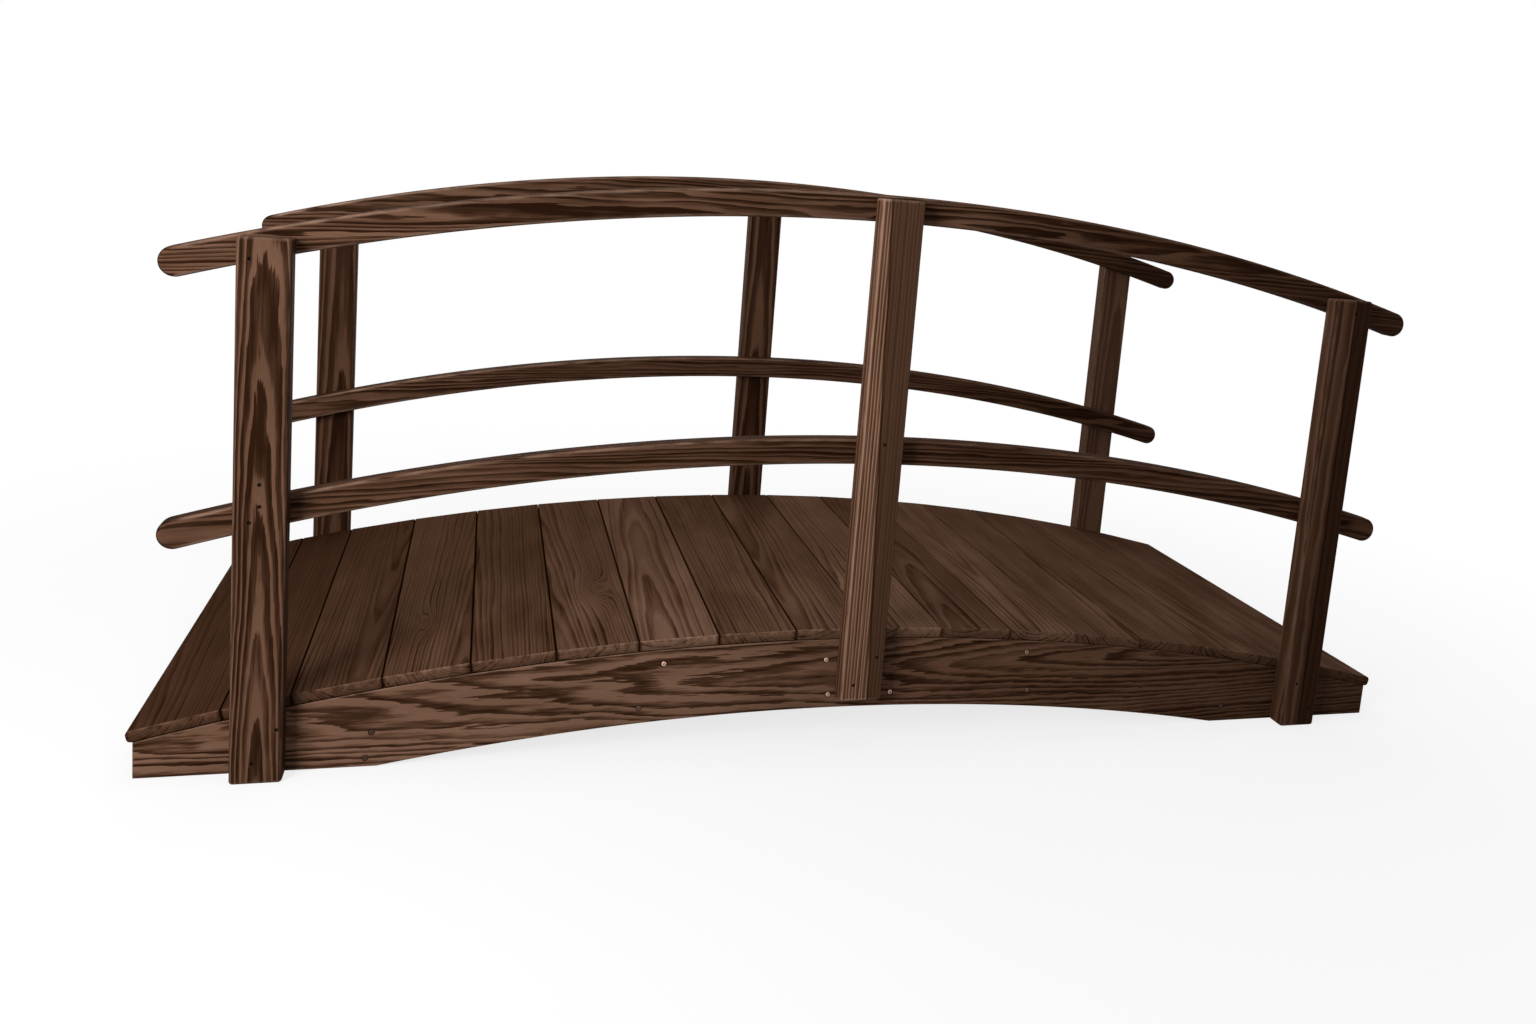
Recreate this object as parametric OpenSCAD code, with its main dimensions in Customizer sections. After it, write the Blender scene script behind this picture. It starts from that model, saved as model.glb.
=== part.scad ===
// Arched timber garden bridge: two sawn stringers carry a curved plank deck,
// and three posts a side carry two bowed handrails with rounded ends.

/* [Bridge] */
// Length of the stringers
bridge_length = 2420; // [1900:10:3000]
// Width over the outer faces of the stringers
bridge_width = 914; // [700:1:1400]

/* [Stringers] */
// Thickness of a stringer
stringer_t = 38; // [25:1:60]
// Height of a stringer's top edge at mid span
stringer_crown = 207; // [185:1:300]
// Height of a stringer's top edge at its ends
stringer_end = 64; // [40:1:100]
// Height of the arch under a stringer at mid span
arch_rise = 70; // [40:1:100]
// Length of the flat foot at each end of a stringer
foot_length = 380; // [250:1:450]

/* [Deck] */
// Number of boards across the deck
board_count = 17; // [12:1:24]
// Thickness of a board
board_t = 20; // [15:1:30]
// Gap between two boards
board_gap = 0.5; // [0.4:0.1:6]
// Radius of a board's eased long edges
board_edge_r = 2.5; // [1:0.5:7]
// Radius of the deck's outer edges, on the first and last boards
board_nose_r = 7; // [1:0.5:7]
// How far the end boards reach past the stringers
board_nose = 10; // [0:1:25]
// Width of the ripped second board, as a share of a full board
ripped_share = 0.75; // [0.5:0.05:1]

/* [Posts] */
// Width of a post, along the bridge
post_w = 82; // [60:1:120]
// Thickness of a post, across the bridge
post_t = 38; // [25:1:60]
// Radius of a post's eased edges
post_edge_r = 5; // [2:0.5:8]
// Distance of an end post's middle from the stringer's end
post_inset = 193; // [120:1:300]
// Height of the end posts' tops above the top rail's middle line
end_post_head = 12; // [0:1:24]
// Height of the middle posts' tops above the top rail's middle line
middle_post_head = 18; // [0:1:24]
// Height of the middle posts' lower ends above the top of the arch
middle_post_lift = 30; // [5:1:50]
// Distance of the front middle post from mid span
front_post_shift = 33; // [0:1:60]

/* [Rails] */
// Height of a rail's section
rail_h = 50; // [35:1:80]
// Thickness of a rail, across the bridge
rail_t = 34; // [25:1:60]
// Radius of a rail's eased edges
rail_edge_r = 7; // [2:0.5:10]
// Height of the top rail's middle line at mid span
top_rail_crown = 1026; // [880:1:1130]
// Drop of the top rail from mid span to the end posts
top_rail_drop = 127; // [60:1:200]
// Height of the lower rail's middle line at mid span
lower_rail_crown = 573; // [480:1:700]
// Drop of the lower rail from mid span to the end posts
lower_rail_drop = 121; // [60:1:200]
// Distance from the end posts' middle to the centre of a rail's round end
rail_reach = 136; // [80:1:200]

/* [Cross braces] */
// Thickness of a brace, along the bridge
brace_t = 38; // [25:1:60]
// Distance between a brace's edges and the stringers' edges
brace_inset = 9; // [3:1:20]
// Spacing of the two braces at mid span
middle_brace_spacing = 130; // [90:1:200]
// Distance of the left quarter brace from mid span
left_quarter_offset = 361; // [250:1:500]
// Distance of the right quarter brace from mid span
right_quarter_offset = 393; // [250:1:500]
// Height of the braces between the feet
foot_brace_h = 84; // [50:1:100]

/* [Hidden] */
$fn = 720;
corner_fn = 48;
end_fn = 96;
// Play between a board and the curved edge that carries it
seat_gap = 0.2;
// Inset of a rail's end disc inside the rail's surface
end_inset = 0.05;
// Extra height of the outline that a stringer is sawn from
overrun = 50;

half_length = bridge_length / 2;
half_width = bridge_width / 2;
foot_inner = half_length - foot_length;
post_offset = half_length - post_inset;

function arc_radius(half_span, rise) = (half_span * half_span + rise * rise) / (2 * rise);
function arc_height(radius, crown, x) = crown - radius + sqrt(radius * radius - x * x);

top_r = arc_radius(half_length, stringer_crown - stringer_end);
arch_r = arc_radius(foot_inner, arch_rise);
top_centre_z = stringer_crown - top_r;
arch_centre_z = arch_rise - arch_r;

// Boards follow an arc through the middle of their thickness
deck_r = top_r + seat_gap + board_t / 2;
deck_half_angle = asin((half_length + board_nose) / deck_r);
deck_arc = 2 * deck_half_angle * PI / 180 * deck_r;
board_pitch = deck_arc / (board_count - 1 + ripped_share);
function board_share(i) = i == 1 ? ripped_share : 1;
function board_start(i) = i < 2 ? i * board_pitch : (i - 1 + ripped_share) * board_pitch;
function board_width(i) = board_share(i) * board_pitch - board_gap;
function board_angle(i) =
    (board_start(i) + board_share(i) * board_pitch / 2) / deck_r * 180 / PI - deck_half_angle;

end_post_h = top_rail_crown - top_rail_drop + end_post_head;
middle_post_bottom = arch_rise + middle_post_lift;
middle_post_top = top_rail_crown + middle_post_head;
brace_length = bridge_width - 2 * stringer_t;
foot_brace_offset = foot_inner + brace_t / 2;

dark_wood = [0.25, 0.15, 0.10];
deck_wood = [0.21, 0.13, 0.09];
hidden_wood = [0.28, 0.18, 0.12];

SIDES = ["front", "back"];
PLACES = ["left", "middle", "right"];
BRACES = ["left_foot", "left_quarter", "left_middle", "right_middle", "right_quarter", "right_foot"];
function two_digits(n) = n < 10 ? str("0", n) : str(n);
function board_name(i) = str("deck_board_", two_digits(i + 1));

// Rectangle round the origin with arcs at its corners
module eased_rectangle(w, h, r) {
    half_eased(w, h, r);
    mirror([1, 0])
        half_eased(w, h, r);
}

// Right half of that rectangle, reaching one radius past the middle
module half_eased(w, h, r) {
    translate([-r, -h / 2])
        square([w / 2, h]);
    translate([-r, r - h / 2])
        square([w / 2 + r, h - 2 * r]);
    for (y = [-1, 1])
        translate([w / 2 - r, y * (h / 2 - r)])
            circle(r, $fn = corner_fn);
}

// Turns a drawing in X and height into a solid centred across the bridge
module across(width) {
    rotate([90, 0, 0])
        linear_extrude(height = width, center = true)
            children();
}

// Side of +1 is the back of the bridge, side of -1 the front
function side_sign(side) = side == "front" ? -1 : 1;

// Stringer sawn to an arc above and to flat feet with an arch between them below
module stringer(side) {
    color(dark_wood)
        translate([0, side_sign(side) * (half_width - stringer_t / 2), 0])
            across(stringer_t)
                difference() {
                    intersection() {
                        translate([0, top_centre_z])
                            circle(top_r);
                        translate([-half_length, 0])
                            square([bridge_length, stringer_crown + overrun]);
                    }
                    translate([0, arch_centre_z])
                        circle(arch_r);
                }
}

// Upright with every edge eased, standing on the given height
module post(side, x, bottom, top) {
    h = top - bottom;
    color(dark_wood)
        translate([x, side_sign(side) * (half_width + post_t / 2), bottom + h / 2])
            intersection() {
                linear_extrude(height = h, center = true)
                    eased_rectangle(post_w, post_t, post_edge_r);
                across(post_t)
                    eased_rectangle(post_w, h, post_edge_r);
            }
}

module end_post(side, direction) {
    post(side, direction * post_offset, 0, end_post_h);
}

module middle_post(side) {
    post(side, side == "front" ? front_post_shift : 0, middle_post_bottom, middle_post_top);
}

// Bowed rail: an eased section swept along an arc, with a round eased disc at each end
module rail(side, crown, drop) {
    radius = arc_radius(post_offset, drop);
    end_angle = asin((post_offset + rail_reach) / radius);
    color(dark_wood)
        translate([0, side_sign(side) * (half_width - rail_t / 2), crown - radius])
            rotate([90, 0, 0]) {
                rotate([0, 0, 90 - end_angle])
                    rotate_extrude(angle = 2 * end_angle)
                        translate([radius, 0])
                            eased_rectangle(rail_h, rail_t, rail_edge_r);
                for (angle = [-end_angle, end_angle])
                    rotate([0, 0, 90 + angle])
                        translate([radius, 0, 0])
                            rail_end();
            }
}

// Disc of a rail's own section, a hair smaller than the rail that it rounds off
module rail_end() {
    rotate_extrude($fn = end_fn)
        intersection() {
            eased_rectangle(rail_h - 2 * end_inset, rail_t - 2 * end_inset, rail_edge_r);
            translate([0, -rail_t])
                square([rail_h, 2 * rail_t]);
        }
}

module top_rail(side) {
    rail(side, top_rail_crown, top_rail_drop);
}

module lower_rail(side) {
    rail(side, lower_rail_crown, lower_rail_drop);
}

// Flat board lying tangent to the stringers' top edges
module deck_board(i) {
    color(deck_wood)
        translate([0, 0, top_centre_z])
            rotate([0, board_angle(i), 0])
                translate([0, 0, deck_r])
                    across(bridge_width) {
                        half_eased(board_width(i), board_t, i == board_count - 1 ? board_nose_r : board_edge_r);
                        mirror([1, 0])
                            half_eased(board_width(i), board_t, i == 0 ? board_nose_r : board_edge_r);
                    }
}

// Board on edge between the stringers
module brace(x, bottom, top) {
    color(hidden_wood)
        translate([x - brace_t / 2, -brace_length / 2, bottom])
            cube([brace_t, brace_length, top - bottom]);
}

// Brace that follows the stringers' depth at its place
module span_brace(x) {
    far_edge = abs(x) + brace_t / 2;
    near_edge = max(abs(x) - brace_t / 2, 0);
    brace(
        x,
        arc_height(arch_r, arch_rise, near_edge) + brace_inset,
        arc_height(top_r, stringer_crown, far_edge) - brace_inset
    );
}

module cross_brace(name) {
    direction = (name == "left_foot" || name == "left_quarter" || name == "left_middle") ? -1 : 1;
    if (name == "left_foot" || name == "right_foot")
        brace(direction * foot_brace_offset, brace_inset, brace_inset + foot_brace_h);
    else if (name == "left_quarter")
        span_brace(-left_quarter_offset);
    else if (name == "right_quarter")
        span_brace(right_quarter_offset);
    else
        span_brace(front_post_shift + direction * middle_brace_spacing / 2);
}

for (s = SIDES) {
    stringer(s);
    end_post(s, -1);
    middle_post(s);
    end_post(s, 1);
    top_rail(s);
    lower_rail(s);
}
for (i = [0 : board_count - 1])
    deck_board(i);
for (b = BRACES)
    cross_brace(b);
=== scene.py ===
import math

import bmesh
import bpy
import numpy as np
from mathutils import Matrix, Vector


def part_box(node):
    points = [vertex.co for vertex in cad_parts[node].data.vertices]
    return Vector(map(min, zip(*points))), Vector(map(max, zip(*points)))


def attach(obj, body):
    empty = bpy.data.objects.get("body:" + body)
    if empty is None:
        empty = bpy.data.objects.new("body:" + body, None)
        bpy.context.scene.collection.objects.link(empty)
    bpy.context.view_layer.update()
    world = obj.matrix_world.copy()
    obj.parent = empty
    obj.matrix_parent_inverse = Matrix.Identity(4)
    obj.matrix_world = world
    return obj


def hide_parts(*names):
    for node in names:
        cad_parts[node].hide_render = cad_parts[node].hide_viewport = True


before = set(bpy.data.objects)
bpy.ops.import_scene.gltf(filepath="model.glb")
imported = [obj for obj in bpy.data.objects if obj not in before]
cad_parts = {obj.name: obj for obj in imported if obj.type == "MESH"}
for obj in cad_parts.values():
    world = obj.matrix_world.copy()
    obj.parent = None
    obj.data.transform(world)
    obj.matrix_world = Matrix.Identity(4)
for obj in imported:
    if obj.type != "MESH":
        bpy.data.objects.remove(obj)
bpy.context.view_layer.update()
scene = bpy.context.scene
print("frame loaded:", len(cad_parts), "nodes")


# small helpers for node trees
def feed(tree, socket, value):
    if isinstance(value, bpy.types.NodeSocket):
        tree.links.new(value, socket)
    else:
        socket.default_value = value


def addNode(tree, kind, values=None, **settings):
    made = tree.nodes.new(kind)
    for key, value in settings.items():
        setattr(made, key, value)
    for key, value in (values or {}).items():
        feed(tree, made.inputs[key], value)
    return made


def calc(tree, operation, a, b=0.0, c=None, clamp=False):
    made = addNode(tree, "ShaderNodeMath", operation=operation, use_clamp=clamp)
    for socket, value in zip(made.inputs, (a, b, c)):
        if value is not None:
            feed(tree, socket, value)
    return made.outputs[0]


def vectorCalc(tree, operation, a, b=(0.0, 0.0, 0.0)):
    made = addNode(tree, "ShaderNodeVectorMath", operation=operation)
    for socket, value in zip(made.inputs, (a, b)):
        feed(tree, socket, value)
    return made.outputs["Value" if operation == "LENGTH" else "Vector"]


def vectorOf(tree, x=0.0, y=0.0, z=0.0):
    return addNode(tree, "ShaderNodeCombineXYZ", {"X": x, "Y": y, "Z": z}).outputs[0]


def partsOf(tree, vector):
    return addNode(tree, "ShaderNodeSeparateXYZ", {"Vector": vector}).outputs


def remap(tree, value, fromRange, toRange=(0.0, 1.0), **settings):
    return addNode(tree, "ShaderNodeMapRange", {
        "Value": value, "From Min": fromRange[0], "From Max": fromRange[1],
        "To Min": toRange[0], "To Max": toRange[1]}, **settings).outputs[0]


def bell(tree, value):  # 1 where the value is 0, falling off to both sides
    return calc(tree, "EXPONENT", calc(tree, "MULTIPLY", calc(tree, "POWER", value, 2.0), -1.0))


def rampOf(tree, fac, stops, interpolation="LINEAR"):
    made = tree.nodes.new("ShaderNodeValToRGB")
    ramp = made.color_ramp
    ramp.interpolation = interpolation
    while len(ramp.elements) < len(stops):
        ramp.elements.new(0.5)
    for element, (place, colour) in zip(ramp.elements, stops):
        element.position = place
        element.color = (*colour, 1.0) if hasattr(colour, "__len__") else (colour, colour, colour, 1.0)
    tree.links.new(fac, made.inputs["Fac"])
    return made.outputs["Color"]


def mixColours(tree, share, first, second):
    made = addNode(tree, "ShaderNodeMix", {"Factor": share}, data_type="RGBA")
    feed(tree, made.inputs[6], first)  # the colour sockets A and B
    feed(tree, made.inputs[7], second)
    return made.outputs[2]


def pieceMark(tree, name, output="Fac"):
    return addNode(tree, "ShaderNodeAttribute", attribute_name=name).outputs[output]


def newFinish(name):
    material = bpy.data.materials.new(name)
    material.use_nodes = True
    material.node_tree.nodes.clear()
    return material, material.node_tree


# what all the pine finishes share
pine = {"yearRate": 0.41, "streakRange": (-0.22, 0.22), "streakGain": 0.4, "heartWander": 0.006,
        "heartRange": (-0.0012, 0.0016), "borderPlace": 0.001, "borderWidth": 0.0024, "borderDepth": -0.62,
        "middleDepth": 0.55, "toneWarmth": (0.16, 0.32), "soilAndShadeWarmth": (0.2, 0.4), "warmthLimit": 1.6,
        "poreRange": (0.17, 0.27), "rubSize": (0.05, 0.012), "rubRange": (-0.22, 0.2), "lateGloss": -0.10,
        "fibreRoughness": 0.25, "lateHeight": 0.5, "poreHeight": 0.4, "bumpDepth": 0.0007}


# stained pine: growth rings round a pith line, read from each piece's own grain attribute
def pineFinish(name, look):
    material, tree = newFinish(name)
    grain, eye = (pieceMark(tree, mark, "Vector") for mark in ("grain", "eye"))
    tone, wear, heart, figure, soil, wild = (
        pieceMark(tree, mark) for mark in ("tone", "wear", "heart", "figure", "soil", "wild"))

    def grainNoise(size, detail=2.0, roughness=0.5):
        along, across = size
        scaled = vectorCalc(tree, "MULTIPLY", grain, (1 / along, 1 / across, 1 / across))
        made = addNode(tree, "ShaderNodeTexNoise", {"Vector": scaled, "Scale": 1.0, "Detail": detail,
                                                    "Roughness": roughness})
        return calc(tree, "SUBTRACT", made.outputs["Fac"], 0.5)

    broad = grainNoise(look["broadSize"], detail=1.0)
    middle = grainNoise(look["middleSize"])
    feather = grainNoise(look["featherSize"])
    fibre = grainNoise(look["fibreSize"], detail=3.0, roughness=0.6)
    blotch = grainNoise(look["blotchSize"])

    # distance from the pith, counted in rings and pushed about by the noises
    radius = vectorCalc(tree, "LENGTH", vectorCalc(tree, "MULTIPLY", grain, (0.0, 1.0, 1.0)))
    rings = calc(tree, "DIVIDE", radius, look["ringWidth"])
    years = addNode(tree, "ShaderNodeTexNoise", {
        "W": calc(tree, "MULTIPLY", rings, pine["yearRate"]), "Scale": 1.0, "Detail": 1.0},
        noise_dimensions="1D").outputs["Fac"]
    rings = calc(tree, "MULTIPLY_ADD", years, look["yearShift"], rings)
    drift = calc(tree, "MULTIPLY", broad, look["broadShift"])
    drift = calc(tree, "MULTIPLY_ADD", middle, look["middleShift"], drift)
    rings = calc(tree, "MULTIPLY_ADD", drift, wild, rings)
    rings = calc(tree, "MULTIPLY_ADD", feather, look["featherShift"], rings)
    eyeAway = vectorCalc(tree, "LENGTH", vectorCalc(tree, "MULTIPLY", eye, (1.0, 1.0, 0.0)))
    rings = calc(tree, "MULTIPLY_ADD", bell(tree, eyeAway), partsOf(tree, eye)["Z"], rings)

    # early wood is pale, late wood darkens slowly and ends at a sharp line
    late = rampOf(tree, calc(tree, "FRACT", rings), look["ringRamp"], "EASE")
    ringChance = addNode(tree, "ShaderNodeTexWhiteNoise", {"W": calc(tree, "FLOOR", rings)},
                         noise_dimensions="1D").outputs["Value"]
    spread = look["ringSpread"]
    late = calc(tree, "MULTIPLY", late, calc(tree, "MULTIPLY_ADD", ringChance, spread, 1.0 - spread))
    streakDepth = look["streakDepth"]
    streak = remap(tree, grainNoise(look["streakSize"]), pine["streakRange"],
                   (1.0 - streakDepth, 1.0 + pine["streakGain"] * streakDepth))
    late = calc(tree, "MULTIPLY", late, streak)

    # darker and calmer heartwood past its line, with a dark border
    heartEdge = calc(tree, "MULTIPLY_ADD", middle, pine["heartWander"], heart)
    heartShare, calm = (remap(tree, heartEdge, pine["heartRange"], (1.0, look[key]))
                        for key in ("heartTone", "heartFigure"))
    border = calc(tree, "SUBTRACT", heartEdge, pine["borderPlace"])
    border = bell(tree, calc(tree, "DIVIDE", border, pine["borderWidth"]))
    border = calc(tree, "MULTIPLY_ADD", border, pine["borderDepth"], 1.0)
    heartShare = calc(tree, "MULTIPLY", heartShare, border)

    # how dark a point is, stretched or calmed round the middle of the ramp
    depth = calc(tree, "MULTIPLY_ADD", fibre, look["fibreDepth"], late)
    depth = calc(tree, "MULTIPLY_ADD", blotch, look["blotchDepth"], depth)
    depth = calc(tree, "ADD", depth, look["lift"] - pine["middleDepth"])
    contrast = calc(tree, "MULTIPLY", figure, calm)
    depth = calc(tree, "MULTIPLY_ADD", depth, contrast, pine["middleDepth"], clamp=True)
    colour = rampOf(tree, depth, look["colours"])

    # the piece's own tone: the darker it is, the warmer
    def warmed(share, warmth):
        soft = calc(tree, "MINIMUM", share, pine["warmthLimit"])
        green, blue = (calc(tree, "MULTIPLY", share, calc(tree, "POWER", soft, power)) for power in warmth)
        return vectorOf(tree, share, green, blue)

    stain = warmed(calc(tree, "MULTIPLY", tone, heartShare), pine["toneWarmth"])
    colour = vectorCalc(tree, "MULTIPLY", colour, stain)

    # thin dark pores along the grain
    pores = remap(tree, grainNoise(look["poreSize"], detail=1.0), pine["poreRange"], (1.0, look["poreTone"]))
    colour = vectorCalc(tree, "MULTIPLY", colour, vectorOf(tree, pores, pores, pores))

    # edges lighter where the stain has rubbed thin, with painted highlights along the arrises
    rub = remap(tree, grainNoise(pine["rubSize"], detail=3.0), pine["rubRange"])
    rub = calc(tree, "MULTIPLY", calc(tree, "MULTIPLY", rub, wear), look["wearShare"], clamp=True)
    wornAndLit = vectorCalc(tree, "MULTIPLY", vectorOf(tree, *look["wornAndLitColour"]), stain)
    colour = mixColours(tree, rub, colour, wornAndLit)

    # dirt that settles in the joints, and painted shade in the holes, the board joints, under the board ends,
    # on the posts' right sides, at the front stringer's left end and by the far posts' feet
    undarkened = calc(tree, "SUBTRACT", 1.0, calc(tree, "MULTIPLY", soil, look["soilAndShadeDepth"]), clamp=True)
    colour = vectorCalc(tree, "MULTIPLY", colour, warmed(undarkened, pine["soilAndShadeWarmth"]))

    rough = calc(tree, "MULTIPLY_ADD", late, pine["lateGloss"], look["roughness"])
    rough = calc(tree, "MULTIPLY_ADD", fibre, pine["fibreRoughness"], rough, clamp=True)
    height = calc(tree, "ADD", fibre, calc(tree, "MULTIPLY", late, pine["lateHeight"]))
    height = calc(tree, "MULTIPLY_ADD", pores, pine["poreHeight"], height)
    bump = addNode(tree, "ShaderNodeBump", {"Strength": look["bump"], "Distance": pine["bumpDepth"],
                                            "Height": height})
    shader = addNode(tree, "ShaderNodeBsdfPrincipled", {
        "Base Color": colour, "Roughness": rough, "Normal": bump.outputs[0],
        "Specular IOR Level": look["specular"]})
    addNode(tree, "ShaderNodeOutputMaterial", {"Surface": shader.outputs[0]})
    return material


# pale to dark, for the strongly figured pieces and for the deck
boldColours = [(0.0, (0.225, 0.123, 0.080)), (0.28, (0.145, 0.074, 0.045)),
               (0.60, (0.060, 0.0270, 0.0145)), (1.0, (0.027, 0.0100, 0.0040))]
quietColours = [(0.0, (0.108, 0.0560, 0.0350)), (0.30, (0.076, 0.0367, 0.0213)),
                (0.65, (0.051, 0.0227, 0.0122)), (1.0, (0.024, 0.0095, 0.0042))]
# one year's growth from early to late wood
boldRing = [(0.0, 0.0), (0.26, 0.03), (0.54, 0.55), (0.80, 1.0), (0.92, 0.85), (1.0, 0.0)]
darkRing = [(0.0, 0.0), (0.20, 0.06), (0.42, 0.62), (0.74, 1.0), (0.93, 0.88), (1.0, 0.0)]

stringerLook = {"ringWidth": 0.0150, "yearShift": 1.6, "ringRamp": boldRing, "ringSpread": 0.55,
                "broadSize": (0.52, 0.085), "broadShift": 3.8, "middleSize": (0.17, 0.030),
                "middleShift": 1.2, "featherSize": (0.060, 0.0060), "featherShift": 0.75,
                "fibreSize": (0.06, 0.0011), "fibreDepth": 0.26, "blotchSize": (0.30, 0.10),
                "blotchDepth": 0.5, "streakSize": (0.20, 0.006), "streakDepth": 0.55, "lift": 0.11,
                "colours": boldColours, "heartTone": 0.75, "heartFigure": 1.0, "poreSize": (0.02, 0.0009),
                "poreTone": 0.72, "wearShare": 0.8, "wornAndLitColour": (0.24, 0.150, 0.106), "soilAndShadeDepth": 0.9,
                "roughness": 0.74, "specular": 0.02, "bump": 0.35}
postLook = dict(stringerLook, ringWidth=0.0080, yearShift=0.8, ringRamp=darkRing, ringSpread=0.5,
                broadSize=(0.48, 0.07), broadShift=1.2, middleSize=(0.11, 0.024), middleShift=0.35,
                featherSize=(0.09, 0.0032), featherShift=0.28, lift=0.22, heartTone=0.46, heartFigure=0.26,
                wearShare=0.6, wornAndLitColour=(0.20, 0.12, 0.085))
railLook = dict(stringerLook, ringWidth=0.0070, yearShift=1.8, ringSpread=0.7, broadSize=(0.40, 0.045),
                broadShift=3.2, middleSize=(0.13, 0.018), middleShift=1.1, featherSize=(0.10, 0.0022),
                featherShift=0.35, fibreDepth=0.50, blotchSize=(0.26, 0.022), blotchDepth=0.8, lift=0.26,
                wearShare=1.1, wornAndLitColour=(0.34, 0.215, 0.155))
deckLook = dict(stringerLook, ringWidth=0.0058, ringSpread=0.7, broadSize=(0.34, 0.06), broadShift=1.6,
                middleSize=(0.10, 0.024), middleShift=0.35, featherSize=(0.09, 0.0032), featherShift=0.22,
                fibreDepth=0.45, blotchSize=(0.22, 0.07), blotchDepth=1.2, lift=0.08, colours=quietColours,
                heartTone=0.66, wearShare=1.1, wornAndLitColour=(0.32, 0.185, 0.125), soilAndShadeDepth=0.92,
                roughness=0.78, specular=0.0)
braceLook = dict(postLook, lift=0.0)

stringerPine = pineFinish("stringerPine", stringerLook)
postPine = pineFinish("postPine", postLook)
railPine = pineFinish("railPine", railLook)
deckPine = pineFinish("deckPine", deckLook)
bracePine = pineFinish("bracePine", braceLook)
print("pine finishes made")


# meshes
def meshFrom(name, points, faces):
    mesh = bpy.data.meshes.new(name)
    shell = bmesh.new()
    corners = [shell.verts.new(p) for p in points]
    for face in faces:
        shell.faces.new([corners[i] for i in face])
    bmesh.ops.remove_doubles(shell, verts=shell.verts, dist=2e-6)
    bmesh.ops.dissolve_degenerate(shell, edges=shell.edges, dist=1e-7)
    bmesh.ops.recalc_face_normals(shell, faces=shell.faces)
    shell.to_mesh(mesh)
    shell.free()
    return mesh


def placed(mesh):
    piece = bpy.data.objects.new(mesh.name, mesh)
    scene.collection.objects.link(piece)
    return piece


def softShade(mesh, sharpAngle=32):
    mesh.polygons.foreach_set("use_smooth", [True] * len(mesh.polygons))
    mesh.set_sharp_from_angle(angle=math.radians(sharpAngle))


def cutWith(piece, cutter):
    modifier = piece.modifiers.new("holes", "BOOLEAN")
    modifier.object = cutter
    modifier.operation = "DIFFERENCE"
    modifier.solver = "EXACT"
    depsgraph = bpy.context.evaluated_depsgraph_get()
    carved = bpy.data.meshes.new_from_object(piece.evaluated_get(depsgraph))
    piece.modifiers.clear()
    plain = piece.data
    piece.data = carved
    bpy.data.meshes.remove(plain)
    carved.name = piece.name
    bpy.data.objects.remove(cutter)
    carved.materials.clear()


def coordsOf(mesh):
    flat = np.zeros(len(mesh.vertices) * 3)
    mesh.vertices.foreach_get("co", flat)
    return flat.reshape(-1, 3)


def keepValues(mesh, name, values):
    values = np.asarray(values, dtype=np.float32)
    kind = "FLOAT_VECTOR" if values.ndim == 2 else "FLOAT"
    layer = mesh.attributes.get(name) or mesh.attributes.new(name, kind, "POINT")
    layer.data.foreach_set("vector" if values.ndim == 2 else "value", values.ravel())


# how a timber was sawn: where its pith lies and runs, and how its tone and figure change along it
plainTimber = {"shift": 0.0, "pith": (0.0, 0.0), "lean": (0.0, 0.0), "dip": 0.0, "spread": 1.0,
               "stretch": 1.0, "stretchFade": 0.0, "tone": 1.0, "fade": 0.0, "glow": (0.0, 1.0, 0.0),
               "figure": 1.0, "figureFade": 0.0, "wild": 1.0, "wildFade": 0.0, "wildLimits": (0.1, 3.0),
               "heart": None}


def giveGrain(mesh, along, across, deep, wear, timber):
    timber = {**plainTimber, **timber}
    (pithAcross, pithDeep), (leanAcross, leanDeep) = timber["pith"], timber["lean"]
    dip = timber["dip"] * np.maximum(along, 0.0)
    grain = np.stack([along + timber["shift"], across - pithAcross - leanAcross * along,
                      deep + pithDeep + leanDeep * along + dip], 1)
    grain[:, 1:] *= timber["spread"]
    grain[:, 1] *= timber["stretch"] + timber["stretchFade"] * along
    place, reach, share = timber["glow"]
    glow = 1.0 + share * np.exp(-((along - place) / reach) ** 2)
    heart = np.full(len(along), -1.0)
    if timber["heart"]:
        heart = across - timber["heart"][0] - timber["heart"][1] * along
    keepValues(mesh, "grain", grain)
    keepValues(mesh, "wear", wear)
    keepValues(mesh, "tone", (timber["tone"] + timber["fade"] * along) * glow)
    keepValues(mesh, "figure", timber["figure"] + timber["figureFade"] * along)
    keepValues(mesh, "wild", np.clip(timber["wild"] + timber["wildFade"] * along, *timber["wildLimits"]))
    keepValues(mesh, "heart", heart)


# 1 at an edge where two faces meet, 0 past the reach
def edgeWear(gaps, reach):
    nearest = np.sort(np.stack(gaps, 1), axis=1)
    blend = 0.42 * reach
    return np.clip((reach - nearest[:, 0] - nearest[:, 1]) / blend, 0.0, 1.0)


def nearEdge(gap, reach):
    return np.clip(1.0 - gap / reach, 0, 1)


# points in the holes: below the face and well inside the piece's outline
def inHoles(below, gaps, hole):
    return (below > hole["skin"]) & (below < hole["depth"]) & (np.minimum.reduce(gaps) > hole["margin"])


# quads from each loop of points to the next, and a face on the first and last loop
def tubeFaces(count, loops, start=0, capped=True):
    faces = []
    for j in range(loops - 1):
        near, far = start + j * count, start + (j + 1) * count
        for i in range(count):
            k = (i + 1) % count
            faces.append((near + i, near + k, far + k, far + i))
    if capped:
        faces += [tuple(begin + i for i in range(count)) for begin in (start, start + (loops - 1) * count)]
    return faces


support = 0.0008  # a line beside each round edge that keeps the flat faces flat


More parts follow.
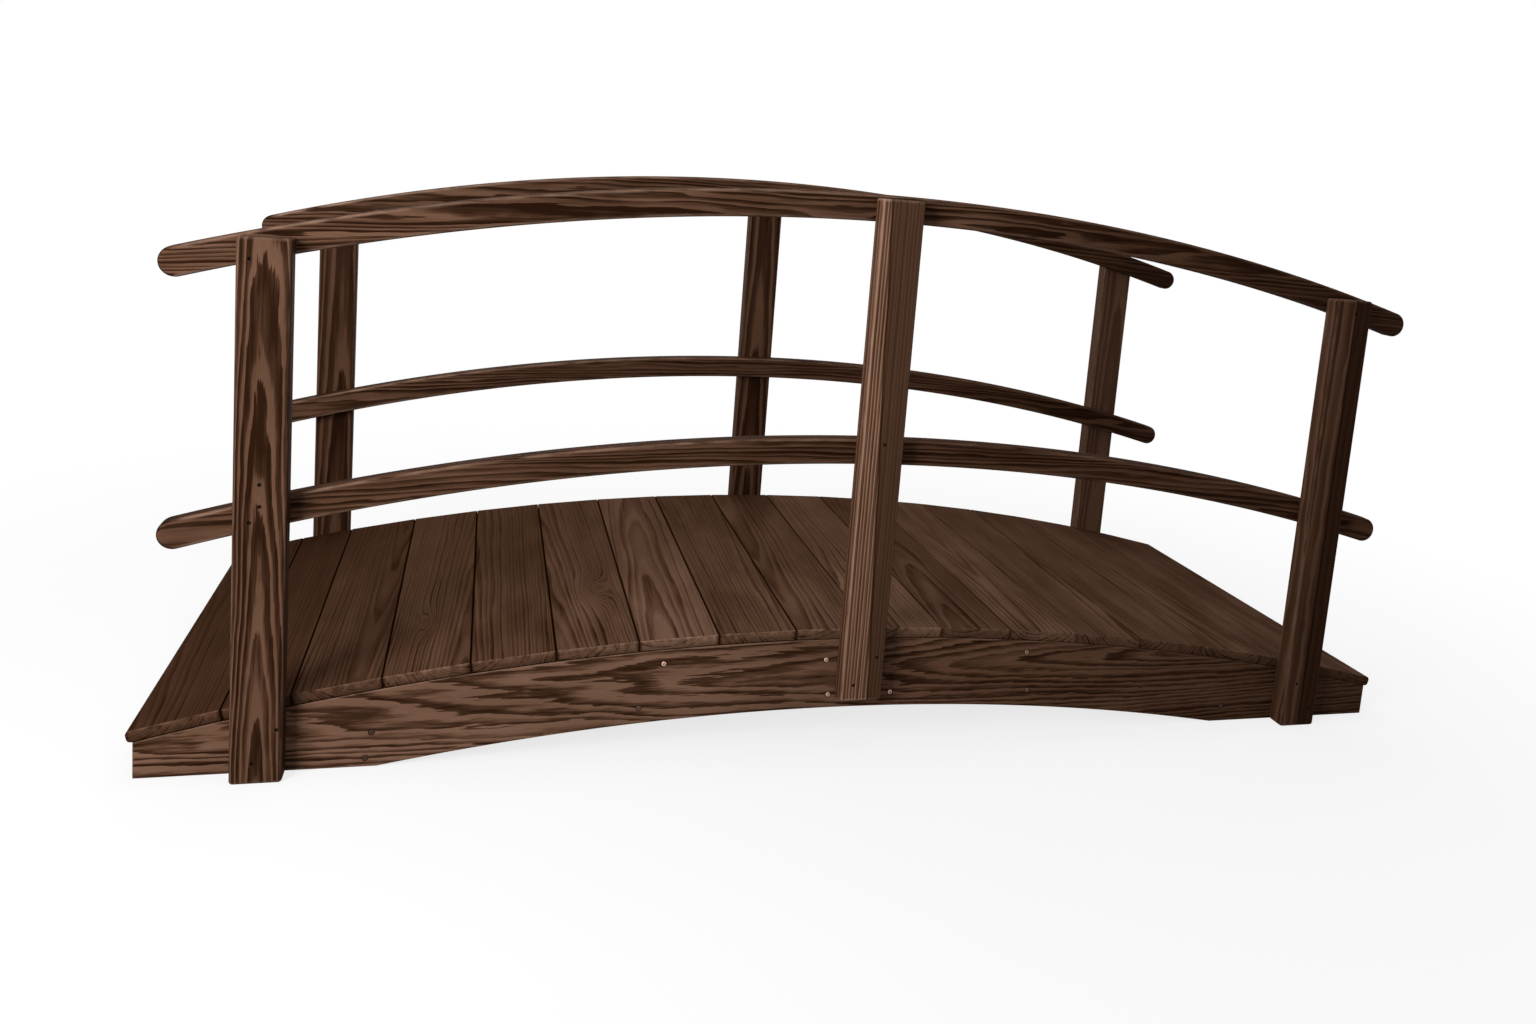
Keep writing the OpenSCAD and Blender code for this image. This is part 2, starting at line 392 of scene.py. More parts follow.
def easedSection(width, height, radius, leftRadius=None, segments=5, columns=1):
    points = []
    radii = {1: radius, -1: leftRadius or radius}
    for turn, (sx, sy) in enumerate(((1, 1), (-1, 1), (-1, -1), (1, -1))):
        r = radii[sx]
        cx, cy = sx * (width / 2 - r), sy * (height / 2 - r)
        for k in range(segments + 1):
            angle = math.radians(90 * turn + 90 * k / segments)
            points.append((cx + r * math.cos(angle), cy + r * math.sin(angle)))
        if turn % 2 == 0:
            begin, stop = sx * (width / 2 - r - support), -sx * (width / 2 - radii[-sx] - support)
            for k in range(columns + 1):
                points.append((begin + (stop - begin) * k / columns, sy * height / 2))
        else:
            reach = height / 2 - r - support
            points += [(sx * width / 2, sy * reach), (sx * width / 2, -sy * reach)]
    return np.array(points)


# bar with an eased section and eased ends, lying along its own third axis
def easedBar(width, height, low, high, radius, endAcross, endDeep, leftRadius=None, columns=1, stations=()):
    reach = max(endAcross, endDeep)
    leastRadius, endShare = 0.0006, (0.93, 0.85, 1.0)
    steps = [reach * (1 - math.cos(math.radians(a))) for a in (0, 22, 42, 60, 76, 90)] + [reach + support]

    def inset(r, d):
        return 0.0 if d >= r else r - math.sqrt(max(r * r - (r - d) ** 2, 0.0))

    places = [(low + d, d) for d in steps]
    places += [(s, 1.0) for s in stations]
    places += [(high - d, d) for d in reversed(steps)]
    rings = []
    for place, d in places:
        ix, iy = inset(endAcross, d), inset(endDeep, d)
        r, leftR = (max(v - min(ix, iy), leastRadius) for v in (radius, leftRadius or radius))
        section = easedSection(width - 2 * ix, height - 2 * iy, r, leftR, columns=columns)
        rings.append(np.column_stack([section, np.full(len(section), place)]))
    rings = [rings[0] * endShare] + rings + [rings[-1] * endShare]
    return np.concatenate(rings), tubeFaces(len(rings[0]), len(rings))


# plate drawn as columns from a lower to an upper line, with its outer edges eased
def easedPlate(outlineAt, thickness, radius, segments=5):
    loops = [(radius + support, thickness / 2)]
    for k in range(segments + 1):
        angle = math.radians(90 * k / segments)
        loops.append((radius * (1 - math.sin(angle)), thickness / 2 - radius + radius * math.cos(angle)))
    loops.append((0.0, thickness / 2 - radius - support))
    loops += [(inset, -y) for inset, y in reversed(loops)]
    points = []
    for inset, y in loops:
        tops, bottoms = outlineAt(inset)
        outline = np.concatenate([tops, bottoms[::-1]])
        points.append(np.column_stack([outline[:, 0], np.full(len(outline), y), outline[:, 1]]))
    count = len(points[0])
    faces = tubeFaces(count, len(points), capped=False)
    last = (len(points) - 1) * count
    for i in range(count // 2 - 1):
        quad = (i, i + 1, count - 2 - i, count - 1 - i)
        faces.append(quad)
        faces.append(tuple(last + v for v in quad))
    return np.concatenate(points), faces


# round cutters, one shell for all the holes of a piece
def holeCutter(name, centres, hole, direction, segments=20):
    above, taper = 0.002, 0.35
    levels = [(hole["mouth"], -above), (hole["mouth"], 0.0), (hole["radius"], hole["cut"] * taper),
              (hole["radius"], hole["cut"])]
    points, faces = [], []
    for x, y, z in centres:
        faces += tubeFaces(segments, len(levels), start=len(points))
        for r, d in levels:
            for k in range(segments):
                angle = 2 * math.pi * k / segments
                points.append((x + r * math.cos(angle), y + direction * d, z + r * math.sin(angle)))
    return placed(meshFrom(name, points, faces))


def camelName(node):
    first, *others = node.split("_")
    return first + "".join(word.capitalize() for word in others)


sideSigns = {"front": -1.0, "back": 1.0}
timberPieces = {}


def outerFace(low, high, sign):
    return low.y if sign < 0 else high.y


def finishTimber(piece, nodes, finish, slotName):
    piece.data.materials.append(finish)
    timberPieces[piece] = (nodes, slotName)


# sawn stringers with countersunk holes
stringer = {"halfLength": 1.210, "crown": 0.207, "end": 0.064, "arch": 0.070, "footInner": 0.830,
            "edge": 0.0025, "columns": 220, "sharpAngle": 25, "lowerSoil": 0.6, "lowerEdgeDarkReach": 0.0022,
            "endDarkFrom": -0.93, "endDarkReach": 0.08}
screwHole = {"mouth": 0.0064, "radius": 0.0052, "cut": 0.0018, "skin": 0.0003, "depth": 0.0021,
             "margin": 0.003, "soil": 0.9}
# place along and up, and how far the head is stained
stringerScrews = [(-0.3388, 0.1692, 0.0), (-0.3800, 0.0851, 1.0), (-0.0285, 0.1662, 0.0),
                  (-0.0196, 0.0963, 0.25), (0.1058, 0.0962, 0.30), (0.3887, 0.1674, 0.70),
                  (0.3977, 0.0880, 0.95), (0.8536, 0.0330, 1.25), (-0.8488, 0.0161, 1.2),
                  (-0.8395, 0.0625, 1.25)]
# the front stringer's tone falls to the right: partly the wood's own tone, partly painted shade where the
# light falls off
stringerTimber = {
    "front": {"shift": 97.5, "pith": (0.146, 0.092), "lean": (0.010, -0.060), "dip": -0.05, "tone": 0.79,
              "fade": -0.25, "glow": (-0.26, 0.36, 0.22), "figure": 0.98, "figureFade": -0.16, "wild": 0.80,
              "wildFade": -0.36, "stretch": 1.5, "stretchFade": 0.15, "endDark": 0.20},
    "back": {"shift": 64.2, "pith": (0.130, 0.085), "lean": (-0.020, 0.050), "tone": 0.9, "wild": 0.75,
             "stretch": 1.4, "endDark": 0.0},
}


def arcRadius(halfSpan, rise):
    return (halfSpan ** 2 + rise ** 2) / (2 * rise)


stringerTopRadius = arcRadius(stringer["halfLength"], stringer["crown"] - stringer["end"])
stringerArchRadius = arcRadius(stringer["footInner"], stringer["arch"])


def stringerTop(x):
    return stringer["crown"] - stringerTopRadius + np.sqrt(stringerTopRadius ** 2 - x ** 2)


def stringerBottom(x):
    arch = stringer["arch"] - stringerArchRadius + np.sqrt(np.maximum(stringerArchRadius ** 2 - x ** 2, 0))
    return np.maximum(arch, 0.0)


def stringerOutline(inset):
    half, foot = stringer["halfLength"], stringer["footInner"]
    stations = np.unique(np.concatenate([np.linspace(-half, half, stringer["columns"]), [-foot, foot]]))
    x = stations * (1 - inset / half)
    return np.column_stack([x, stringerTop(x) - inset]), np.column_stack([x, stringerBottom(x) + inset])


for side, sign in sideSigns.items():
    node = side + "_stringer"
    low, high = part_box(node)
    thickness, middleY, faceY = high.y - low.y, (low.y + high.y) / 2, outerFace(low, high, sign)
    points, faces = easedPlate(stringerOutline, thickness, stringer["edge"], segments=4)
    points[:, 1] += middleY
    piece = placed(meshFrom(camelName(node), points, faces))
    holes = [(x, faceY, z) for x, z, stained in stringerScrews]
    cutWith(piece, holeCutter("countersinks", holes, screwHole, -sign))
    co, timber = coordsOf(piece.data), stringerTimber[side]
    below = abs(co[:, 1] - faceY)
    gaps = [thickness / 2 - abs(co[:, 1] - middleY), stringerTop(co[:, 0]) - co[:, 2],
            co[:, 2] - stringerBottom(co[:, 0]), stringer["halfLength"] - abs(co[:, 0])]
    giveGrain(piece.data, co[:, 0], co[:, 2], below, edgeWear(gaps, stringer["edge"]), timber)
    # painted shade at the front stringer's left end, under the deck's nose, and both stringers darker along
    # the lower edge
    toEnd = np.clip((stringer["endDarkFrom"] - co[:, 0]) / stringer["endDarkReach"], 0, 1)
    soil = np.maximum(stringer["lowerSoil"] * nearEdge(gaps[2], stringer["lowerEdgeDarkReach"]),
                      timber["endDark"] * toEnd)
    # painted shade on the countersinks' walls
    sunk = inHoles(below, gaps[1:], screwHole)
    keepValues(piece.data, "soil", np.where(sunk, screwHole["soil"], soil))
    softShade(piece.data, stringer["sharpAngle"])
    finishTimber(piece, [node], stringerPine, "stringer_pine")
print("stringers made")

# posts, with sunk nail holes
post = {"edge": 0.005, "endAcross": 0.005, "endDeep": 0.0022, "rightSoil": 0.6, "rightSideShadeReach": 0.0025,
        "leftEdgeDarkReach": 0.0030}
nailHole = {"mouth": 0.0034, "radius": 0.0029, "cut": 0.0060, "skin": 0.0003, "depth": 0.0065,
            "margin": 0.006, "soil": 1.0, "nailSink": 0.0035}
postNails = {"left": [(-1.0176, 0.5128), (-1.0174, 0.4763), (-1.0322, 0.4496), (-0.9853, 0.0935),
                      (-1.0218, 0.0356), (-1.0374, 0.8768)],
             "middle": [(0.0366, 0.5960), (0.0587, 0.1846), (0.0169, 0.1305)],
             "right": [(1.0041, 0.0934), (1.0421, 0.0379), (1.0200, 0.8850)]}
postTimber = {
    "front_left": {"shift": 15.4, "pith": (0.003, 0.020), "lean": (0.004, 0.036), "tone": 0.69, "fade": 0.20,
                   "figure": 1.1, "spread": 1.2, "wild": 2.1},
    "front_middle": {"shift": 9.2, "pith": (-0.120, 0.020), "lean": (0.0, 0.002), "tone": 2.0, "fade": 0.66,
                     "heart": (0.0165, -0.039), "spread": 1.2, "figure": 0.76, "wild": 0.4, "leftSoil": 0.45},
    "front_right": {"shift": 5.3, "pith": (-0.090, 0.030), "lean": (0.012, 0.003), "tone": 0.91,
                    "heart": (0.002, 0.0), "spread": 0.45, "figure": 0.55, "wild": 2.2},
    "back_left": {"shift": 2.4, "pith": (0.010, 0.045), "lean": (0.004, 0.015), "tone": 0.72, "figure": 0.75},
    "back_middle": {"shift": 6.6, "pith": (-0.002, 0.040), "lean": (0.002, 0.020), "tone": 0.76,
                    "figure": 0.85},
    "back_right": {"shift": 8.1, "pith": (0.015, 0.060), "lean": (0.003, 0.010), "tone": 1.30,
                   "figure": 0.28},
}
nailSpots, nailSigns = [], []
for side, sign in sideSigns.items():
    for place in ("left", "middle", "right"):
        node = side + "_" + place + "_post"
        low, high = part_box(node)
        middle, size, faceY = (low + high) / 2, high - low, outerFace(low, high, sign)
        points, faces = easedBar(size.x, size.y, low.z, high.z, post["edge"], post["endAcross"],
                                 post["endDeep"])
        points[:, 0] += middle.x
        points[:, 1] += middle.y
        piece = placed(meshFrom(camelName(node), points, faces))
        frontLow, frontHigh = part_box("front_" + place + "_post")
        slide = middle.x - (frontLow.x + frontHigh.x) / 2  # the nails were measured on the front posts
        holes = [(x + slide, faceY, z) for x, z in postNails[place]]
        nailSpots += [(x, y - sign * nailHole["nailSink"], z) for x, y, z in holes]
        nailSigns += [sign] * len(holes)
        cutWith(piece, holeCutter("nailHoles", holes, nailHole, -sign, segments=14))
        co, timber = coordsOf(piece.data), postTimber[side + "_" + place]
        gaps = [size.x / 2 - abs(co[:, 0] - middle.x), size.y / 2 - abs(co[:, 1] - middle.y),
                co[:, 2] - low.z, high.z - co[:, 2]]
        giveGrain(piece.data, co[:, 2], co[:, 0] - middle.x, abs(co[:, 1] - low.y),
                  edgeWear(gaps, post["edge"]), timber)
        # painted shade along each post's right side, and a darker left edge on the middle front post
        soil = post["rightSoil"] * nearEdge(high.x - co[:, 0], post["rightSideShadeReach"])
        soil += timber.get("leftSoil", 0.0) * nearEdge(co[:, 0] - low.x, post["leftEdgeDarkReach"])
        # painted shade on the nail holes' walls
        sunk = inHoles(abs(co[:, 1] - faceY), [gaps[0], gaps[2], gaps[3]], nailHole)
        keepValues(piece.data, "soil", np.where(sunk, nailHole["soil"], soil))
        softShade(piece.data)
        finishTimber(piece, [node], postPine, "post_pine")
print("posts made")

# bowed rails with round eased ends, sawn from straight boards so that the grain crosses the bow
rail = {"height": 0.0495, "thickness": 0.034, "edge": 0.007, "reach": 0.136, "postOffset": 1.017,
        "columns": 110, "endColumns": 14, "wear": 1.4, "wearReach": 0.00595, "wearMiddle": 0.75,
        "highlightFade": -0.45, "highlightLimits": (0.2, 1.1), "endDark": 0.9, "endDarkReach": 0.0045, "soil": 0.5,
        "soilAndShadeReach": 0.0022}
railBows = {"top": {"crown": 1.026, "drop": 0.127}, "lower": {"crown": 0.573, "drop": 0.121}}
# the rails' tone falls to the right: partly the wood's own tone, partly painted shade where the light falls
# off
railTimber = {
    "front_top": {"shift": 31.9, "pith": (0.995, 0.045), "lean": (0.010, 0.006), "tone": 0.62, "fade": -0.15,
                  "glow": (0.0, 0.5, 0.2), "figure": 1.2, "figureFade": -0.20, "bend": 0.25},
    "front_lower": {"shift": 11.0, "pith": (0.48, 0.050), "lean": (0.006, 0.010), "tone": 0.64, "fade": -0.10,
                    "bend": 0.4},
    "back_top": {"shift": 13.7, "pith": (0.98, 0.050), "lean": (0.008, 0.004), "tone": 0.72, "fade": -0.32,
                 "bend": 0.25},
    "back_lower": {"shift": 16.1, "pith": (0.50, 0.040), "lean": (0.004, 0.008), "tone": 0.62, "fade": -0.14,
                   "bend": 0.4},
}
railEnd = rail["postOffset"] + rail["reach"]


def railOutline(bow, inset):
    radius = arcRadius(rail["postOffset"], bow["drop"])
    endAngle = math.asin(railEnd / radius)
    half = rail["height"] / 2 - inset
    centreZ = bow["crown"] - radius
    tops, bottoms = [], []
    for k in range(rail["endColumns"] + 1):
        turn = math.pi / 2 * (1 - k / rail["endColumns"])
        for sign, line in ((1, tops), (-1, bottoms)):
            r = radius + sign * half * math.cos(turn)
            back = half * math.sin(turn)
            line.append((-r * math.sin(endAngle) - back * math.cos(endAngle),
                         r * math.cos(endAngle) - back * math.sin(endAngle) + centreZ))
    for angle in np.linspace(-endAngle, endAngle, rail["columns"])[1:-1]:
        for sign, line in ((1, tops), (-1, bottoms)):
            r = radius + sign * half
            line.append((r * math.sin(angle), r * math.cos(angle) + centreZ))
    mirrored = [[(-x, z) for x, z in reversed(line[:rail["endColumns"] + 1])] for line in (tops, bottoms)]
    return np.array(tops + mirrored[0]), np.array(bottoms + mirrored[1])


for side, sign in sideSigns.items():
    for level, bow in railBows.items():
        node = side + "_" + level + "_rail"
        low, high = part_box(node)
        middleY = (low.y + high.y) / 2
        points, faces = easedPlate(lambda inset: railOutline(bow, inset), rail["thickness"], rail["edge"])
        points[:, 1] += middleY
        piece = placed(meshFrom(camelName(node), points, faces))
        co, timber = coordsOf(piece.data), railTimber[side + "_" + level]
        radius = arcRadius(rail["postOffset"], bow["drop"])
        radial = np.hypot(co[:, 0], co[:, 2] - bow["crown"] + radius) - radius
        across = co[:, 2] + timber["bend"] * (bow["crown"] + radial - co[:, 2])
        endZ = math.sqrt(radius ** 2 - railEnd ** 2) + bow["crown"] - radius
        pastEnd = abs(co[:, 0]) > railEnd
        radial = np.where(pastEnd, np.hypot(abs(co[:, 0]) - railEnd, co[:, 2] - endZ), radial)
        gaps = [rail["height"] / 2 - abs(radial), rail["thickness"] / 2 - abs(co[:, 1] - middleY)]
        # lighter arrises, from rubbed stain and a painted highlight that is strongest on the left and fades
        # to the right
        wear = np.clip(rail["wearMiddle"] + rail["highlightFade"] * co[:, 0], *rail["highlightLimits"])
        wear = np.where(pastEnd, 0.0, rail["wear"] * edgeWear(gaps, rail["wearReach"]) * wear)
        giveGrain(piece.data, co[:, 0], across, abs(co[:, 1] - low.y), wear, timber)
        # a dark rim round the rounded ends, and darker along the upper and lower edges
        endDark = rail["endDark"] * nearEdge(gaps[0], rail["endDarkReach"])
        edgeDark = rail["soil"] * nearEdge(gaps[0], rail["soilAndShadeReach"])
        keepValues(piece.data, "soil", np.where(pastEnd, endDark, edgeDark))
        softShade(piece.data)
        finishTimber(piece, [node], railPine, "rail_pine")
print("rails made")

# braces on edge under the deck
brace = {"edge": 0.002, "endEase": 0.0004, "shift": (20.0, 1.7), "pithStep": 0.02, "pithDeep": 0.05,
         "lean": (0.01, 0.02), "tone": 0.85}
bracePlaces = ("left_foot", "left_quarter", "left_middle", "right_middle", "right_quarter", "right_foot")
for number, place in enumerate(bracePlaces):
    node = place + "_brace"
    low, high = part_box(node)
    points, faces = easedBar(high.x - low.x, high.z - low.z, low.y, high.y, brace["edge"], brace["endEase"],
                             brace["endEase"])
    points = points[:, [0, 2, 1]] + ((low.x + high.x) / 2, 0.0, (low.z + high.z) / 2)
    piece = placed(meshFrom(camelName(node), points, faces))
    co = coordsOf(piece.data)
    gaps = [co[:, 0] - low.x, high.x - co[:, 0], co[:, 2] - low.z, high.z - co[:, 2]]
    timber = {"shift": brace["shift"][0] + brace["shift"][1] * number, "lean": brace["lean"],
              "pith": (brace["pithStep"] * number, brace["pithDeep"]), "tone": brace["tone"]}
    giveGrain(piece.data, co[:, 1], co[:, 2], abs(co[:, 0] - low.x), edgeWear(gaps, brace["edge"]), timber)
    softShade(piece.data)
    finishTimber(piece, [node], bracePine, "brace_pine")
print("braces made")


# helpers for geometry node trees
def newTree(name, sockets):
    tree = bpy.data.node_groups.new(name, "GeometryNodeTree")
    face = tree.interface
    face.new_socket("Geometry", in_out="INPUT", socket_type="NodeSocketGeometry")
    for label, kind in sockets:
        face.new_socket(label, in_out="INPUT", socket_type="NodeSocket" + kind)
    face.new_socket("Geometry", in_out="OUTPUT", socket_type="NodeSocketGeometry")
    return tree, tree.nodes.new("NodeGroupInput").outputs


def openSocket(sockets, name):
    return [s for s in sockets if s.enabled and s.name == name][0]


def chance(tree, kind, low, high, seed):
    made = addNode(tree, "FunctionNodeRandomValue", data_type=kind)
    openSocket(made.inputs, "Min").default_value = low
    openSocket(made.inputs, "Max").default_value = high
    tree.links.new(seed, made.inputs["Seed"])
    return openSocket(made.outputs, "Value")


def store(tree, geometry, name, value, kind="FLOAT", domain="POINT"):
    made = addNode(tree, "GeometryNodeStoreNamedAttribute", {"Geometry": geometry, "Name": name},
                   data_type=kind, domain=domain)
    tree.links.new(value, openSocket(made.inputs, "Value"))
    return made.outputs[0]


def named(tree, name, kind="FLOAT"):
    made = addNode(tree, "GeometryNodeInputNamedAttribute", {"Name": name}, data_type=kind)
    return openSocket(made.outputs, "Attribute")


def realized(tree, instances):
    return addNode(tree, "GeometryNodeRealizeInstances", {"Geometry": instances}).outputs[0]


def endTree(tree, solid, finish):
    dressed = addNode(tree, "GeometryNodeSetMaterial", {"Geometry": solid, "Material": finish}).outputs[0]
    tree.links.new(dressed, tree.nodes.new("NodeGroupOutput").inputs[0])
    return tree


# runs a tree on a base or an empty mesh and keeps the result as a plain mesh
def grown(name, tree, values, base=None):
    carrier = placed(base or bpy.data.meshes.new(name + "Seat"))
    modifier = carrier.modifiers.new(name, "NODES")
    modifier.node_group = tree
    for item in tree.interface.items_tree:
        if item.item_type == "SOCKET" and item.in_out == "INPUT" and item.name in values:
            modifier[item.identifier] = values[item.name]
    depsgraph = bpy.context.evaluated_depsgraph_get()
    mesh = bpy.data.meshes.new_from_object(carrier.evaluated_get(depsgraph))
    mesh.name = name
    bpy.data.objects.remove(carrier)
    return placed(mesh)


# deck boards laid along the stringers' curve by geometry nodes
deck = {"Board Count": 17, "Thickness": 0.020, "Gap": 0.0005, "Edge": 0.0025, "Nose Edge": 0.007,
        "Nose": 0.010, "Ripped Share": 0.75, "Seat Gap": 0.0002, "Length": 0.914, "End Ease": 0.0009,
        "Fray Depth": 0.0015, "Dark Boards": 4.5, "Dark Tone": 0.62, "Pale Tone": 1.30, "Seed": 35,
        "Tone Seed": 3943}
# how a board's marks run: worn fringe on its ends, lines that strengthen to the front, dirt and painted shade
# in the joints, and a painted contact shadow under the ends
boardMarks = {"columns": 46, "stations": 16, "stationInset": 0.008, "endWear": 0.62, "fringeWear": 0.38,
              "fringeFrom": 0.93, "fringeReach": 0.05, "edgeWear": 0.0017, "endFigure": 2.4, "figure": 0.58,
              "figureGain": 0.38, "figureFrom": 0.2, "figureReach": 0.5, "soilAndShadePower": 0.45,
              "endShare": 0.8, "rimShare": 1.2, "frayInset": 0.002, "lowerFray": 0.3}
# changes from board to board, as the boards and the values between which they go
# the last boards' ends darken: partly their own tone, partly painted shade where the light falls off
boardFades = {"endTone": ((11.0, 15.0), (0.0, -0.19)), "edges": ((7.0, 11.0), (1.0, 0.45)),
              "figure": ((0.0, 4.0), (0.62, 1.0))}
boardLog = {"low": (-9.0, -0.11, 0.03), "high": (9.0, 0.11, 0.12), "lean": 0.03, "tones": (0.8, 1.2)}
# knots that the boards' lines run round: place and size along and across, and how far they push
deckEyes = [{"board": 5, "place": (-0.169, 0.015), "size": (0.065, 0.026), "push": 6.0},
            {"board": 3, "place": (-0.234, -0.010), "size": (0.060, 0.016), "push": 3.5}]
fraying = {"scale": 130.0, "from": 0.35, "gain": 3.0, "drop": -0.7}
deckRadius = stringerTopRadius + deck["Seat Gap"] + deck["Thickness"] / 2
deckHalfAngle = math.asin((stringer["halfLength"] + deck["Nose"]) / deckRadius)
boardPitch = 2 * deckHalfAngle * deckRadius / (deck["Board Count"] - 1 + deck["Ripped Share"])
boardWidth = boardPitch - deck["Gap"]


# one board to lay out, with the deck's rounder outer edge on one side if asked
def boardPattern(name, leftEdge, rightEdge):
    marks, endEase = boardMarks, deck["End Ease"]
    halfLength, halfThick = deck["Length"] / 2, deck["Thickness"] / 2
    reach = halfLength - marks["stationInset"]
    points, faces = easedBar(boardWidth, deck["Thickness"], -halfLength, halfLength, rightEdge, endEase,
                             endEase, leftRadius=leftEdge, columns=marks["columns"],
                             stations=np.linspace(-reach, reach, marks["stations"]))
    pattern = placed(meshFrom(name, points[:, [0, 2, 1]], faces))
    mesh = pattern.data
    x, y, z = coordsOf(mesh).T
    endGap, sideGap = halfLength - abs(y), boardWidth / 2 - abs(x)
    onEnd, rimBand = endGap < endEase * marks["endShare"], endEase * marks["rimShare"]
    rise = (z / halfThick + 1) / 2
    fringe = np.clip((rise - marks["fringeFrom"]) / marks["fringeReach"], 0, 1)
    wear = np.where(onEnd, marks["endWear"] * rise + marks["fringeWear"] * fringe, 0.0)
    wear = np.maximum(edgeWear([halfThick - z, endGap], marks["edgeWear"]), wear)
    giveGrain(mesh, y, x, halfThick - z, wear, plainTimber)
    # painted contact shadow along the lower rim of the ends, and dirt with painted shade in the joints along
    # the long edges
    contactShadowRim = onEnd & (z < rimBand - halfThick)
    soil = nearEdge(sideGap, deck["Edge"]) ** marks["soilAndShadePower"]
    keepValues(mesh, "soil", np.where(contactShadowRim, 1.0, soil))
    toFront = np.clip(marks["figureFrom"] - y / marks["figureReach"], 0, 1)
    figure = marks["figure"] + marks["figureGain"] * toFront
    keepValues(mesh, "figure", np.where(onEnd, marks["endFigure"], figure))
    keepValues(mesh, "heart", np.where(onEnd, 1.0, -1.0))
    onRim = onEnd & (sideGap > marks["frayInset"]) & (abs(abs(z) - halfThick) < rimBand)
    keepValues(mesh, "fray", np.where(onRim, np.where(z > 0, 1.0, marks["lowerFray"]), 0.0) * np.sign(y))
    softShade(mesh)
    return pattern


boardPatterns = {"First Board": boardPattern("firstBoard", deck["Nose Edge"], deck["Edge"]),
                 "Plain Board": boardPattern("plainBoard", deck["Edge"], deck["Edge"]),
                 "Last Board": boardPattern("lastBoard", deck["Edge"], deck["Nose Edge"])}


